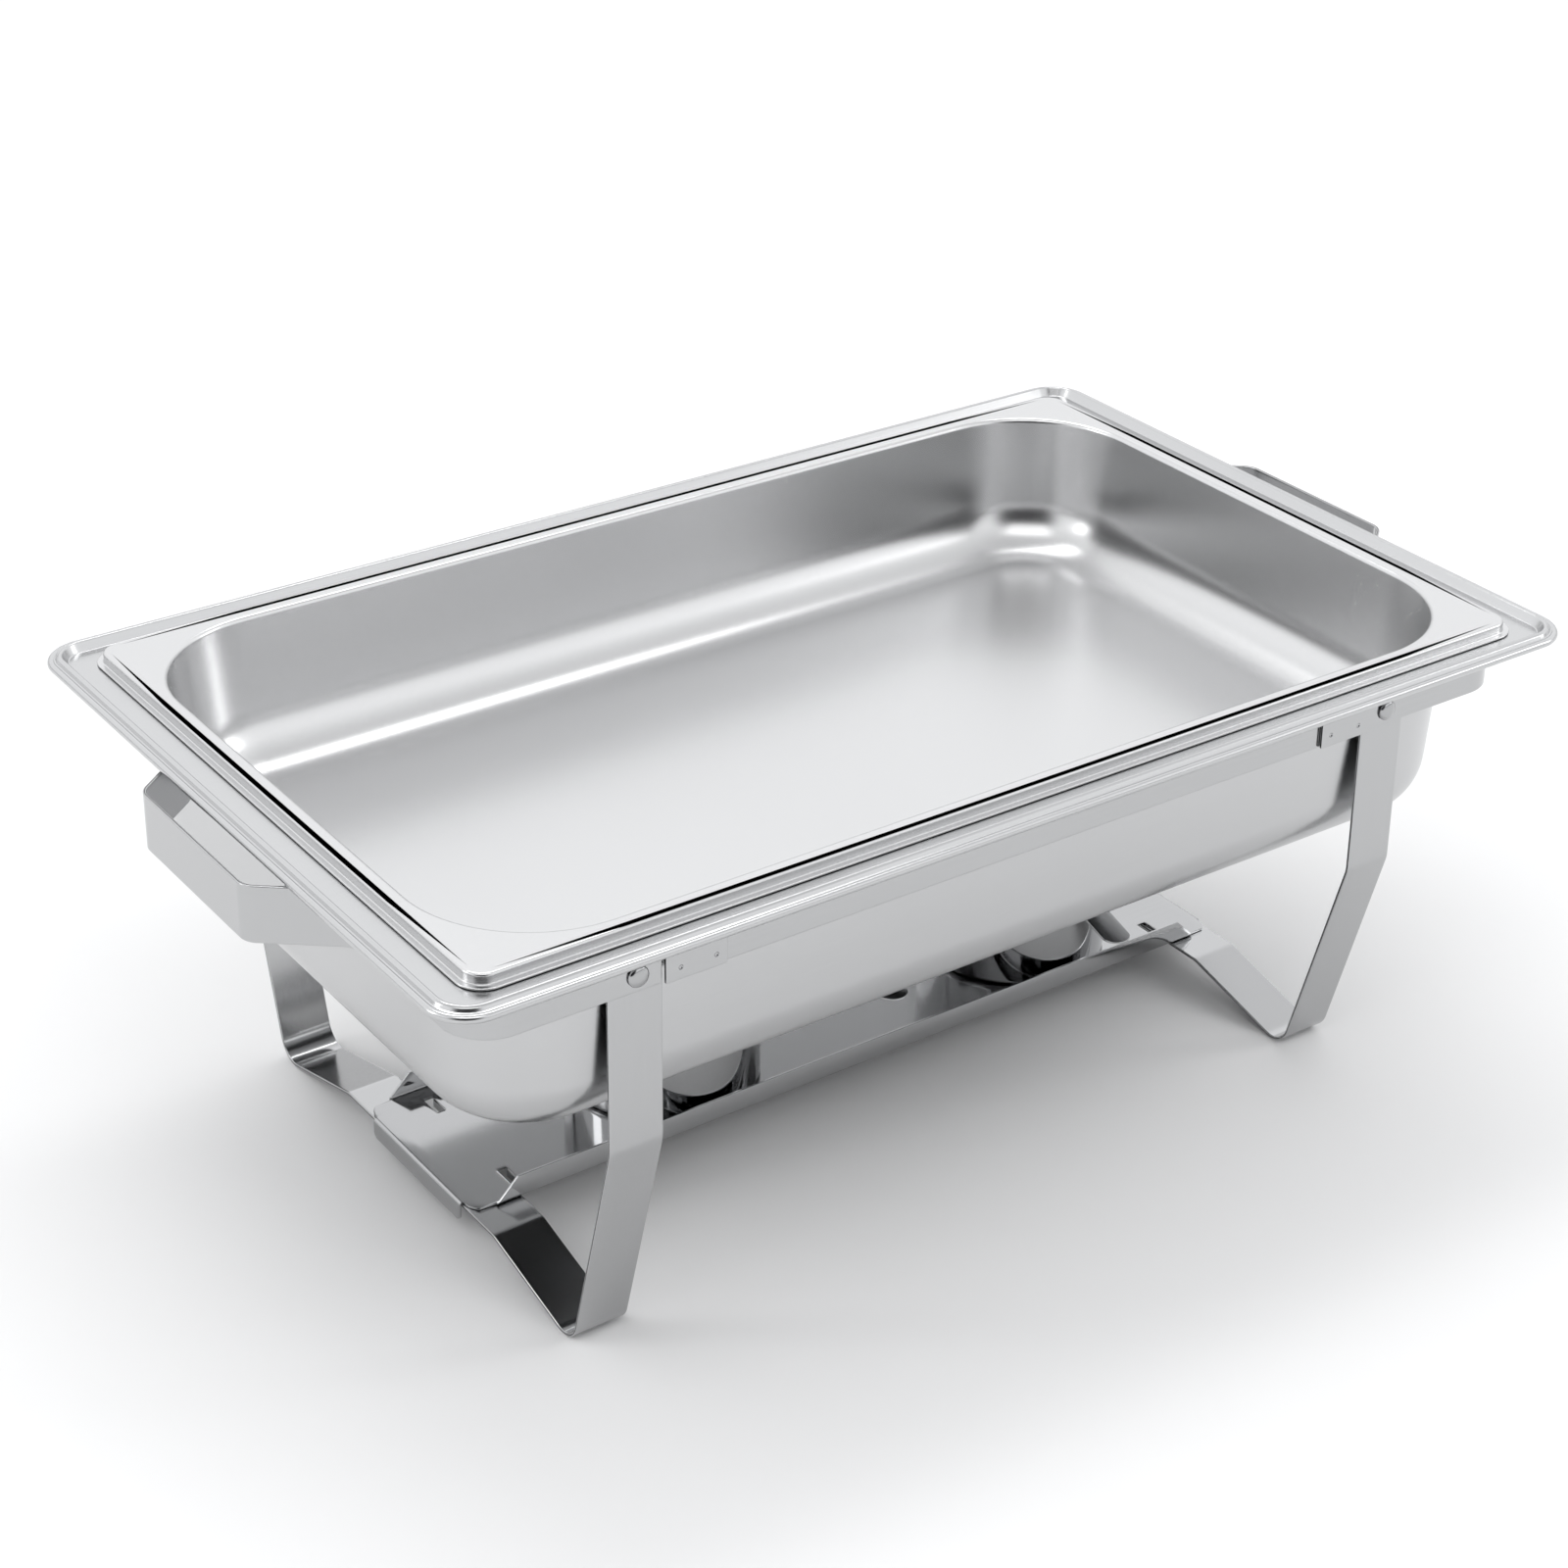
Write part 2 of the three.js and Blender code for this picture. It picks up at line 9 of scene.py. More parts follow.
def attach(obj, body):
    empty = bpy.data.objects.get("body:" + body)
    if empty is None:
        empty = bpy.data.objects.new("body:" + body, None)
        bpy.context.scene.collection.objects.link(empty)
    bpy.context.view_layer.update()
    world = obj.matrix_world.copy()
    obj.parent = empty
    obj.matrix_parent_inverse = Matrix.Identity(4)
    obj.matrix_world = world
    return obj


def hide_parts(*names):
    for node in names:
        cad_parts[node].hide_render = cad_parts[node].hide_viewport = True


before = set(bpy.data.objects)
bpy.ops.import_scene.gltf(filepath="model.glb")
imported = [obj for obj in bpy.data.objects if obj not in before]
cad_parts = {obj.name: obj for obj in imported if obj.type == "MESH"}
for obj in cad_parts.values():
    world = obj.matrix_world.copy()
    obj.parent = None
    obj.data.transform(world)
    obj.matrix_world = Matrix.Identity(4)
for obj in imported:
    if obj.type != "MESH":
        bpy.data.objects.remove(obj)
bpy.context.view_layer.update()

MM = 0.001

# ---- Dimensions, in millimetres, as in the CAD ----
SHEET = 0.8
STRIP = 1.5
GAP = 0.3
LEDGE_Z = 203.8

WATER_HALF = (258.8, 152.8)
WATER_CORNER = 50.0
WATER_FLOOR_Z = 113.9
WATER_FOOT = 6.5  # how far in the wall would meet the floor, without its bend
WATER_BEND = 28.0
RIM_HALF = (283.2, 178.4)
RIM_CORNER = 19.0
ROLL_RADIUS = 1.75  # rolled outer edge of the rim
ROLL_RISE = 0.65

PAN_UNDER = LEDGE_Z + GAP
PAN_TOP = PAN_UNDER + 5.3
PAN_FLOOR = PAN_TOP - 65.0
WELL_HALF = (253.5, 151.0)
WELL_CORNER = 56.0
WELL_FOOT = 8.6
WELL_BEND = 26.0
WELL_LIP = 2.5
GN_HALF = (265.0, 162.5)
GN_CORNER = 12.0
FLANGE_WIDTH = 2.8

BAND_TOP = LEDGE_Z - SHEET - GAP
BAND_FOOT = BAND_TOP - 25.0
BAND_Y = 156.05
BAND_X = 263.25
BAND_CORNER = 19.0
HANDLE_X = 295.25
HANDLE_GRIP = 44.0
HANDLE_ROOT = 70.0
HANDLE_BEND = 9.0
LAP_END = 152.5
LAP_START = 180.0
LAP_STEP = STRIP + GAP
RAIL_HALF = 178.8
WELD_PLACES = (173.5, 157.5)
WELD_Z = 183.0
WELD_RADIUS = 1.15
WELD_RISE = 0.45  # how far the dimple's ball is centred outside the face
LAP_GAP = 0.9  # width of the dark line where the band steps out over the rail

LEG_X = 191.5
LEG_Y = BAND_Y - STRIP - GAP
LEG_HALF = 12.0
PIVOT_Z = 184.6
PIVOT_HOLE = 2.3
DRILL_HALF = 4.0  # half length of the drills through the strip
LEAN = math.radians(15.6)
FOOT_Y = 116.0
FOOT_BEND = 12.0
SLOPE = math.radians(14.5)
CROSS_TOP = 15.0

SHELF_Z = CROSS_TOP + GAP
SHELF_TOP = SHELF_Z + 1.0
SHELF_HALF_X = 204.4
SHELF_HALF_Y = 46.5
SHELF_CORNER = 9.0

CUP_RADIUS = 44.0
CUP_HEIGHT = 59.0
CUP_Z = SHELF_TOP + GAP
LID_Z = CUP_Z + CUP_HEIGHT + GAP
LID_HOLE = 22.0
DAMPER_Z = LID_Z + SHEET + GAP
DAMPER_PIVOT = 35.0
DAMPER_REACH = 112.0
HOLDERS = (("left", -80.0, -53.0), ("right", 118.0, -104.0))


# ---- Outlines ----
def turned(vector, angle):
    c, s = math.cos(angle), math.sin(angle)
    return Vector((c * vector.x - s * vector.y, s * vector.x + c * vector.y))


def rounded(vertices, steps=8, closed=False, support=0.0):
    """Points along a polyline whose vertices (a, b, radius) are rounded by their own radius.
    support adds a point that far outside each end of every bend, which keeps flats flat."""
    out = []
    count = len(vertices)
    for i, (a, b, radius) in enumerate(vertices):
        here = Vector((a, b))
        if not radius or (not closed and i in (0, count - 1)):
            out.append(here)
            continue
        before = Vector(vertices[i - 1][:2])
        after = Vector(vertices[(i + 1) % count][:2])
        into = (here - before).normalized()
        away = (after - here).normalized()
        turn = math.atan2(into.x * away.y - into.y * away.x, into.dot(away))
        if abs(turn) < 1e-6:
            out.append(here)
            continue
        reach = radius * math.tan(abs(turn) / 2)
        start = here - into * reach
        side = 1 if turn > 0 else -1
        centre = start + Vector((-into.y, into.x)) * side * radius
        if support:
            out.append(start - into * support)
        out += [centre + turned(start - centre, turn * k / steps) for k in range(steps + 1)]
        if support:
            out.append(here + away * (reach + support))
    return out


CORNER_STEPS = 20
SIDE_STOPS = (0.015, 0.1, 0.3, 0.5, 0.7, 0.9, 0.985)


def level_ring(half, corner, out, z):
    """A rounded rectangle at height z, grown outwards by out."""
    hx, hy = half[0] + out, half[1] + out
    radius = max(corner + out, 3.0)
    arcs = []
    for quarter in range(4):
        sx = 1 if quarter in (0, 3) else -1
        sy = 1 if quarter < 2 else -1
        centre = Vector((sx * (hx - radius), sy * (hy - radius)))
        angles = [(quarter + k / CORNER_STEPS) * math.pi / 2 for k in range(CORNER_STEPS + 1)]
        arcs.append([centre + Vector((math.cos(t), math.sin(t))) * radius for t in angles])
    ring = []
    for i, arc in enumerate(arcs):
        ring += arc
        after = arcs[(i + 1) % 4][0]
        ring += [arc[-1].lerp(after, stop) for stop in SIDE_STOPS]
    return [(p.x, p.y, z) for p in ring]


# ---- Meshes ----
def make(name, vertices, faces, sharp=32.0):
    """A mesh object from millimetre vertices. Edges that turn more than sharp degrees stay crisp."""
    mesh = bpy.data.meshes.new(name)
    mesh.from_pydata([tuple(c * MM for c in v) for v in vertices], [], faces)
    mesh.validate()
    obj = bpy.data.objects.new(name, mesh)
    bpy.context.scene.collection.objects.link(obj)
    soften(obj, sharp)
    return obj


def soften(obj, sharp=32.0):
    mesh = obj.data
    mesh.polygons.foreach_set("use_smooth", [True] * len(mesh.polygons))
    mesh.set_sharp_from_angle(angle=math.radians(sharp))
    mesh.update()


def loft(rings, caps=True, loop=False):
    """Vertices and quads through a list of closed rings, with flat ends, or joined end to end."""
    count = len(rings[0])
    vertices = [p for ring in rings for p in ring]
    faces = []
    spans = len(rings) if loop else len(rings) - 1
    for i in range(spans):
        a, b = i * count, ((i + 1) % len(rings)) * count
        for k in range(count):
            n = (k + 1) % count
            faces.append((a + k, a + n, b + n, b + k))
    if caps and not loop:
        faces.append(tuple(reversed(range(count))))
        last = (len(rings) - 1) * count
        faces.append(tuple(last + k for k in range(count)))
    return vertices, faces


def lathe(profile, steps=72, place=None):
    """A closed solid of revolution about Z from (radius, z) points that start and end on the axis,
    or form a closed loop away from it."""
    on_axis = profile[0][0] == 0
    inner = profile[1:-1] if on_axis else profile
    rings = []
    for r, z in inner:
        angles = [2 * math.pi * k / steps for k in range(steps)]
        rings.append([(r * math.cos(t), r * math.sin(t), z) for t in angles])
    vertices, faces = loft(rings, caps=False, loop=not on_axis)
    if on_axis:
        foot, head = len(vertices), len(vertices) + 1
        vertices += [(0, 0, profile[0][1]), (0, 0, profile[-1][1])]
        last = (len(rings) - 1) * steps
        for k in range(steps):
            n = (k + 1) % steps
            faces.append((n, k, foot))
            faces.append((last + k, last + n, head))
    if place is not None:
        vertices = [tuple(place @ Vector(v)) for v in vertices]
    return vertices, faces


def mitres(path):
    """At each point of a path: the normal to its left, and how far the mitre stretches it."""
    out = []
    for i, point in enumerate(path):
        into = (point - path[i - 1]).normalized() if i else (path[1] - point).normalized()
        away = (path[i + 1] - point).normalized() if i < len(path) - 1 else into
        along = (into + away).normalized()
        out.append((Vector((-along.y, along.x)), 1 / max(along.dot(into), 0.5)))
    return out


EDGE = 0.4  # rounding of a strip's long edges


def strip_section(half_width, half_thick, edge=EDGE):
    """The strip's cross-section with softened corners, as (across thickness, across width)."""
    edge = min(edge, half_width * 0.9, half_thick * 0.9)
    corners = [
        (-half_thick, -half_width, edge),
        (half_thick, -half_width, edge),
        (half_thick, half_width, edge),
        (-half_thick, half_width, edge),
    ]
    return rounded(corners, steps=4, closed=True, support=min(0.5, half_width * 0.05))


def strip(path, half_widths, place, thickness=STRIP):
    """A strip swept along a flat path. place(a, b, w) puts a section point in space."""
    rings = []
    frames = mitres(path)
    last = len(path) - 1
    for i, (point, (normal, stretch)) in enumerate(zip(path, frames)):
        ends = i in (0, last)
        inset = 0.2 if ends else 0.0
        half = max(half_widths[i] - inset, 0.15)
        section = strip_section(half, thickness / 2 - inset)
        ring = []
        for t, w in section:
            q = point + normal * t * stretch
            ring.append(place(q.x, q.y, w))
        rings.append(ring)
    return loft(rings)


def end_points(path, chamfer=0.2):
    """Adds a point just inside each end of a path, for the softened ends of a strip."""
    first = path[0] + (path[1] - path[0]).normalized() * chamfer
    last = path[-1] + (path[-2] - path[-1]).normalized() * chamfer
    return [path[0], first] + path[1:-1] + [last, path[-1]]


def outward(obj):
    """Turns the faces of a closed mesh outwards."""
    work = bmesh.new()
    work.from_mesh(obj.data)
    bmesh.ops.recalc_face_normals(work, faces=work.faces)
    work.to_mesh(obj.data)
    work.free()
    obj.data.update()


def apply_modifiers(obj):
    bpy.context.view_layer.update()
    graph = bpy.context.evaluated_depsgraph_get()
    mesh = bpy.data.meshes.new_from_object(obj.evaluated_get(graph))
    old = obj.data
    obj.modifiers.clear()
    obj.data = mesh
    bpy.data.meshes.remove(old)


def carve(obj, cutters):
    """Cuts the cutters' solids out of a piece and removes them."""
    for cutter in cutters:
        outward(cutter)
        modifier = obj.modifiers.new("cut", "BOOLEAN")
        modifier.operation = "DIFFERENCE"
        modifier.solver = "EXACT"
        modifier.object = cutter
        apply_modifiers(obj)
        if not obj.data.vertices:
            raise RuntimeError(f"{obj.name} was emptied by {cutter.name}")
        bpy.data.objects.remove(cutter)
    soften(obj)


def drill(radius, half_length, centre, axis="Y"):
    """A cylinder along an axis, to be cut out of a piece."""
    profile = [(0, -half_length), (radius, -half_length), (radius, half_length), (0, half_length)]
    spin = {"Y": Euler((math.pi / 2, 0, 0)), "Z": Euler((0, 0, 0))}[axis]
    place = Matrix.Translation(centre) @ spin.to_matrix().to_4x4()
    return make("drill", *lathe(profile, 32, place))


def ball(radius, centre):
    """A ball to be cut out of a piece, as a dimple."""
    steps = 12
    angles = [-math.pi / 2 + math.pi * k / steps for k in range(steps + 1)]
    profile = [(radius * math.cos(t), radius * math.sin(t)) for t in angles]
    profile[0] = (0, -radius)
    profile[-1] = (0, radius)
    return make("ball", *lathe(profile, 24, Matrix.Translation(centre)))


# ---- Steel finishes ----
def link(tree, a, b):
    tree.links.new(a, b)


def steel(name, colour, roughness, spread, grain, depth, cloud=7.0, wear=0.08, smudge=0.05):
    """Stainless steel with its grain along one direction.
    grain is the noise scale along each axis, depth the height of the grain in millimetres."""
    material = bpy.data.materials.new(name)
    material.use_nodes = True
    tree = material.node_tree
    nodes = tree.nodes
    shader = nodes["Principled BSDF"]
    shader.inputs["Metallic"].default_value = 1.0
    coordinates = nodes.new("ShaderNodeTexCoord")

    def noise(scale, detail, rough=0.5):
        mapping = nodes.new("ShaderNodeMapping")
        mapping.inputs["Scale"].default_value = scale
        link(tree, coordinates.outputs["Object"], mapping.inputs["Vector"])
        texture = nodes.new("ShaderNodeTexNoise")
        texture.inputs["Scale"].default_value = 1.0
        texture.inputs["Detail"].default_value = detail
        texture.inputs["Roughness"].default_value = rough
        link(tree, mapping.outputs["Vector"], texture.inputs["Vector"])
        return texture.outputs["Fac"]

    def math_node(operation, a, b, clamp=False):
        node = nodes.new("ShaderNodeMath")
        node.operation = operation
        node.use_clamp = clamp
        for socket, value in zip(node.inputs, (a, b)):
            if isinstance(value, (int, float)):
                socket.default_value = value
            else:
                link(tree, value, socket)
        return node.outputs[0]

    fine = noise(grain, 2.0)
    broad = noise((cloud, cloud, cloud * 1.3), 3.0, 0.6)
    rubs = noise((cloud * 9, cloud * 9, cloud * 9), 4.0, 0.7)

    # Edges: where a rounded normal leaves the surface's own one, the colour is made a little lighter all
    # along, and the roughness rises in rubbed patches
    bevel = nodes.new("ShaderNodeBevel")
    bevel.samples = 4
    bevel.inputs["Radius"].default_value = 0.0012
    geometry = nodes.new("ShaderNodeNewGeometry")
    dot = nodes.new("ShaderNodeVectorMath")
    dot.operation = "DOT_PRODUCT"
    link(tree, bevel.outputs["Normal"], dot.inputs[0])
    link(tree, geometry.outputs["Normal"], dot.inputs[1])
    off = math_node("SUBTRACT", 1.0, dot.outputs["Value"], True)
    edge = math_node("MULTIPLY", off, 5.0, True)
    worn = math_node("MULTIPLY", edge, rubs, True)

    fine_part = math_node("MULTIPLY_ADD", fine, spread)
    fine_part.node.inputs[2].default_value = roughness - spread * 0.5
    broad_part = math_node("MULTIPLY_ADD", broad, smudge)
    broad_part.node.inputs[2].default_value = -smudge * 0.5
    total = math_node("ADD", fine_part, broad_part)
    worn_part = math_node("MULTIPLY", worn, wear)
    link(tree, math_node("ADD", total, worn_part, True), shader.inputs["Roughness"])

    tint = nodes.new("ShaderNodeMix")
    tint.data_type = "RGBA"
    tint.inputs["A"].default_value = tuple(c * 0.95 for c in colour) + (1,)
    tint.inputs["B"].default_value = tuple(min(c * 1.05, 1) for c in colour) + (1,)
    mixed = math_node("MULTIPLY_ADD", fine, 0.6)
    mixed.node.inputs[2].default_value = -0.1
    tone = math_node("ADD", mixed, math_node("MULTIPLY", broad, 0.4), True)
    link(tree, math_node("ADD", tone, math_node("MULTIPLY", edge, 0.3), True), tint.inputs["Factor"])
    link(tree, tint.outputs["Result"], shader.inputs["Base Color"])

    bump = nodes.new("ShaderNodeBump")
    bump.inputs["Strength"].default_value = 1.0
    bump.inputs["Distance"].default_value = depth * MM
    link(tree, fine, bump.inputs["Height"])
    link(tree, bump.outputs["Normal"], shader.inputs["Normal"])
    return material


ALONG_X = (25.0, 1400.0, 1400.0)
ALONG_Z = (1400.0, 1400.0, 25.0)
ALL_WAYS = (900.0, 900.0, 900.0)

PAN_STEEL = (0.63, 0.632, 0.636)
# Painted shade: the water pan's steel is given a darker colour than the food pan's steel, for the darker
# reflections it shows.
WALL_STEEL_PAINTED_SHADE = (0.54, 0.543, 0.548)
# Painted shade: the band, rails, laps and legs get a darker steel colour, for how dark they read under the
# light.
FRAME_STEEL_PAINTED_SHADE = (0.47, 0.473, 0.478)
# Painted shade: the shelf, cups, lids, dampers and rivets get the darkest steel colour; on the shelf it
# stands in for the dark reflection of the pan's underside.
MIRROR_STEEL_PAINTED_SHADE = (0.42, 0.423, 0.428)
# The water pan, band, leg, shelf, cup and rivet materials use the darker steel colours, so they carry
# painted shade; the food pan's keeps the steel's own colour.
food_finish = steel("food_pan_satin", PAN_STEEL, 0.26, 0.04, ALL_WAYS, 0.0008, smudge=0.03)
water_finish = steel("water_pan_satin_painted_shade", WALL_STEEL_PAINTED_SHADE, 0.22, 0.06, ALONG_X, 0.0012, smudge=0.03)
band_finish = steel("band_polish_painted_shade", FRAME_STEEL_PAINTED_SHADE, 0.16, 0.07, ALONG_X, 0.0012, smudge=0.04)
leg_finish = steel("leg_polish_painted_shade", FRAME_STEEL_PAINTED_SHADE, 0.16, 0.07, ALONG_Z, 0.0012, smudge=0.04)
shelf_finish = steel("shelf_mirror_painted_shade", MIRROR_STEEL_PAINTED_SHADE, 0.09, 0.03, ALONG_X, 0.0004, smudge=0.03)
cup_finish = steel("cup_mirror_painted_shade", MIRROR_STEEL_PAINTED_SHADE, 0.05, 0.02, ALL_WAYS, 0.0003, smudge=0.02)
rivet_finish = steel("rivet_polish_painted_shade", MIRROR_STEEL_PAINTED_SHADE, 0.10, 0.04, ALL_WAYS, 0.0006, smudge=0.03)


def finish_piece(obj, material, body, slot, *nodes):
    obj.data.materials.clear()
    obj.data.materials.append(material)
    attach(obj, body)
    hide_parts(*nodes)
    return obj


# ---- Pans ----
def food_pan():
    wall = [
        (8.0, PAN_TOP, 0),
        (0.34, PAN_TOP, WELL_LIP),
        (-WELL_FOOT, PAN_FLOOR, WELL_BEND),
        (-60.0, PAN_FLOOR, 0),
    ]
    inside = rounded(wall, steps=16, support=0.6)
    back = [
        (8.0, PAN_TOP - SHEET, 0),
        (0.34 + SHEET, PAN_TOP - SHEET, WELL_LIP - SHEET),
        (-WELL_FOOT + SHEET, PAN_FLOOR - SHEET, WELL_BEND + SHEET),
        (-60.0, PAN_FLOOR - SHEET, 0),
    ]
    outside = rounded(back, steps=16, support=0.6)
    edge = [
        (-FLANGE_WIDTH - 1.0 - SHEET, PAN_TOP - SHEET, 0),
        (-FLANGE_WIDTH - SHEET, PAN_TOP - SHEET, 0.5),
        (-FLANGE_WIDTH - SHEET, PAN_UNDER, 0.4),
        (0.0, PAN_UNDER, 0.3),
        (0.0, PAN_UNDER + SHEET, 0.3),
        (-FLANGE_WIDTH, PAN_UNDER + SHEET, 0.6),
        (-FLANGE_WIDTH, PAN_TOP, 1.2),
        (-FLANGE_WIDTH - 3.0, PAN_TOP, 0),
    ]
    rim = rounded(edge, steps=6, support=0.15)
    rings = [level_ring(WELL_HALF, WELL_CORNER, p.x, p.y) for p in reversed(outside)]
    rings += [level_ring(GN_HALF, GN_CORNER, p.x, p.y) for p in rim]
    rings += [level_ring(WELL_HALF, WELL_CORNER, p.x, p.y) for p in inside]
    return make("food_pan_shell", *loft(rings))


def water_pan():
    inner_top = (0.4 - SHEET, LEDGE_Z, 1.2)
    inner = [
        (8.0, LEDGE_Z, 0),
        inner_top,
        (-WATER_FOOT, WATER_FLOOR_Z + SHEET, WATER_BEND - SHEET),
        (-60.0, WATER_FLOOR_Z + SHEET, 0),
    ]
    outer = [
        (8.0, LEDGE_Z - SHEET, 0),
        (0.4, LEDGE_Z - SHEET, 1.0),
        (-WATER_FOOT + SHEET, WATER_FLOOR_Z, WATER_BEND),
        (-60.0, WATER_FLOOR_Z, 0),
    ]
    under = [
        (-11.0, LEDGE_Z - SHEET, 0),
        (-9.3, LEDGE_Z - SHEET, 0.8),
        (-5.9, LEDGE_Z + 3.5, 0.7),
        (-3.9, LEDGE_Z + 1.6, 0.4),
        (-3.2, LEDGE_Z - 0.6, 0),
    ]
    over = [
        (-3.5, LEDGE_Z + 2.2, 0),
        (-4.2, LEDGE_Z + 3.4, 0.8),
        (-5.9, LEDGE_Z + 4.5, 1.2),
        (-8.7, LEDGE_Z, 0.7),
        (-10.5, LEDGE_Z, 0),
    ]
    turns = [math.radians(-115 + 245 * k / 18) for k in range(19)]
    roll = [
        Vector((ROLL_RADIUS * (math.cos(t) - 1), LEDGE_Z + ROLL_RISE + ROLL_RADIUS * math.sin(t)))
        for t in turns
    ]
    bead = rounded(under, 7, support=0.15) + roll + rounded(over, 7, support=0.15)
    outside = rounded(outer, 16, support=0.6)
    rings = [level_ring(WATER_HALF, WATER_CORNER, p.x, p.y) for p in reversed(outside)]
    rings += [level_ring(RIM_HALF, RIM_CORNER, p.x, p.y) for p in bead]
    rings += [level_ring(WATER_HALF, WATER_CORNER, p.x, p.y) for p in rounded(inner, 16, support=0.6)]
    return make("water_pan_shell", *loft(rings))


finish_piece(food_pan(), food_finish, "food_pan_body", "food_pan_steel", "food_pan")
finish_piece(water_pan(), water_finish, "water_pan_body", "water_pan_steel", "water_pan")


# ---- Frame ----
BAND_MIDDLE = (BAND_TOP + BAND_FOOT) / 2
BAND_HALF = (BAND_TOP - BAND_FOOT) / 2


def lay_band(a, b, w):
    return (a, b, BAND_MIDDLE + w)


def end_band(name, sign):
    """The strip round one end, with the handle, from one lap to the other."""
    quarter = [
        (LAP_START + LAP_GAP, BAND_Y, 0),
        (BAND_X, BAND_Y, BAND_CORNER),
        (BAND_X, HANDLE_ROOT, HANDLE_BEND),
        (HANDLE_X, HANDLE_GRIP, HANDLE_BEND),
    ]
    whole = quarter + [(x, -y, r) for x, y, r in reversed(quarter)]
    path = [p * sign for p in rounded(whole, steps=12, support=0.4)]
    path = end_points(path)
    obj = make(name, *strip(path, [BAND_HALF] * len(path), lay_band))
    outward(obj)
    holes = [drill(PIVOT_HOLE, DRILL_HALF, (sign * LEG_X, side * BAND_Y, PIVOT_Z)) for side in (-1, 1)]
    carve(obj, holes)
    return obj


def lap(name, sx, sy):
    """The end of the strip that steps out over the rail, with its two weld dimples."""
    level = sy * (BAND_Y + LAP_STEP)
    path = end_points([Vector((sx * LAP_START, level)), Vector((sx * LAP_END, level))])
    obj = make(name, *strip(path, [BAND_HALF] * len(path), lay_band))
    outward(obj)
    centre = sy * (BAND_Y + LAP_STEP + STRIP / 2 + WELD_RISE)
    carve(obj, [ball(WELD_RADIUS, (sx * x, centre, WELD_Z)) for x in WELD_PLACES])
    return obj


for end, sx in (("left", -1), ("right", 1)):
    band = end_band(end + "_end_strip", sx)
    finish_piece(band, band_finish, "frame", "frame_steel", end + "_end_band")
    for side, sy in (("front", -1), ("rear", 1)):
        plate = lap(f"lap_{end}_{side}", sx, sy)
        finish_piece(plate, band_finish, "frame", "frame_steel")

for side, sign in (("front", -1), ("rear", 1)):
    path = end_points([Vector((-RAIL_HALF, sign * BAND_Y)), Vector((RAIL_HALF, sign * BAND_Y))])
    rail = make(side + "_rail_strip", *strip(path, [BAND_HALF] * len(path), lay_band))
    outward(rail)
    finish_piece(rail, band_finish, "frame", "frame_steel", side + "_rail")


def pivot_rivet(name, sx, sy):
    head_base = BAND_Y + STRIP / 2 + GAP
    tail_base = LEG_Y - STRIP / 2 - GAP
    tail = [(0, -1.0), (2.6, -1.0), (3.2, -0.7), (3.4, -0.3), (3.4, 0.0), (2.0, 0.0)]
    head = [(2.0, 0.0), (4.35, 0.0), (4.6, 0.2)]
    profile = [(r, tail_base + z) for r, z in tail] + [(r, head_base + z) for r, z in head]
    dome_steps = 14
    for k in range(1, dome_steps + 1):
        angle = math.pi / 2 * k / dome_steps
        profile.append((4.6 * math.cos(angle), head_base + 0.2 + 2.0 * math.sin(angle)))
    profile[-1] = (0, head_base + 2.2)
    spin = Euler((-math.pi / 2 * sy, 0, 0)).to_matrix().to_4x4()
    place = Matrix.Translation((sx * LEG_X, 0, PIVOT_Z)) @ spin
    obj = make(name, *lathe(profile, 40, place))
    outward(obj)
    return obj


for end, sx in (("left", -1), ("right", 1)):
    for side, sy in (("front", -1), ("rear", 1)):
        name = f"{end}_{side}_pivot"
        rivet = pivot_rivet(name + "_dome", sx, sy)
        finish_piece(rivet, rivet_finish, "frame", "rivet_steel", name + "_rivet")


# ---- Legs ----
def leg(name, sx):
    middle = FOOT_BEND - STRIP / 2
    lean = Vector((math.cos(LEAN), -math.sin(LEAN)))
    slope = Vector((-math.sin(SLOPE), -math.cos(SLOPE)))
    foot = Vector((FOOT_Y, FOOT_BEND)) + (lean + slope) * middle / (1 + lean.dot(slope))
    kink_z = foot.y + (LEG_Y - foot.x) / math.tan(LEAN)
    cross_z = CROSS_TOP - STRIP / 2
    knee_y = foot.x - (cross_z - foot.y) / math.tan(SLOPE)
    half = [
        (LEG_Y, PIVOT_Z, 0),
        (LEG_Y, kink_z, 16.0),
        (foot.x, foot.y, middle),
        (knee_y, cross_z, 12.0),
    ]
    whole = half + [(-y, z, r) for y, z, r in reversed(half)]
    path = rounded(whole, steps=14, support=0.5)
    widths = [LEG_HALF] * len(path)
    turns = [math.pi / 2 * k / 14 for k in range(1, 15)]
    turns[-1] = math.radians(89.2)
    for t in turns:
        rise = LEG_HALF * math.sin(t)
        width = LEG_HALF * math.cos(t)
        path.insert(0, Vector((LEG_Y, PIVOT_Z + rise)))
        path.append(Vector((-LEG_Y, PIVOT_Z + rise)))
        widths.insert(0, width)
        widths.append(width)
    obj = make(name, *strip(path, widths, lambda a, b, w: (sx * LEG_X + w, a, b)))
    outward(obj)
    holes = [drill(PIVOT_HOLE, DRILL_HALF, (sx * LEG_X, side * LEG_Y, PIVOT_Z)) for side in (-1, 1)]
    carve(obj, holes)
    return obj


for side, sx in (("left", -1), ("right", 1)):
    piece = leg(side + "_leg_strip", sx)
    finish_piece(piece, leg_finish, side + "_leg_body", "frame_steel", side + "_leg")


